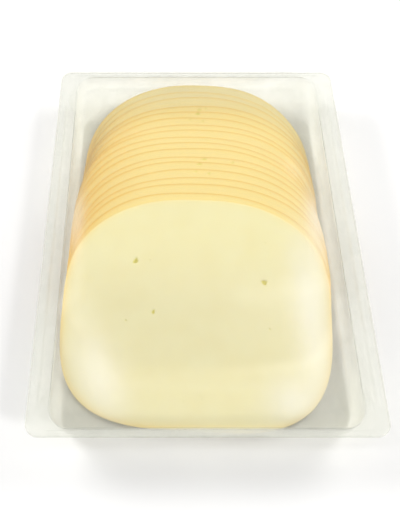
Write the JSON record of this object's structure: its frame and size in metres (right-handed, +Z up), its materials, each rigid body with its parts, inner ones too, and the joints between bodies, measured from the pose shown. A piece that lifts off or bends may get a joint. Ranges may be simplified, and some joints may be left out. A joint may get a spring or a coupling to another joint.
{
  "type": "pack of sliced cheese",
  "caption": "Clear stepped tray holding a fan of thin pale yellow cheese slices, sealed with clear film; lies flat.",
  "frame": {"origin": "middle of the tray's underside, on the surface that the pack lies on", "axes": "+Z up out of the film; +Y along the pack towards the end where the lowest slice shows; +X across the pack, to the right when the top slice is nearest"},
  "size_m": [0.14, 0.191, 0.0203],
  "materials": {
    "tray_plastic": "clear moulded plastic, faintly milky and glossy",
    "film_plastic": "thin clear film, glossy",
    "cheese": "pale yellow cheese, smooth and slightly moist, darker at the edges of each slice"
  },
  "bodies": {
    "root": {"tray": "tray_plastic", "film": "film_plastic", "slice_01": "cheese", "slice_02": "cheese", "slice_03": "cheese", "slice_04": "cheese", "slice_05": "cheese", "slice_06": "cheese", "slice_07": "cheese", "slice_08": "cheese", "slice_09": "cheese", "slice_10": "cheese", "slice_11": "cheese", "slice_12": "cheese", "slice_13": "cheese", "slice_14": "cheese", "slice_15": "cheese", "slice_16": "cheese", "slice_17": "cheese", "slice_18": "cheese"}
  },
  "joints": []
}
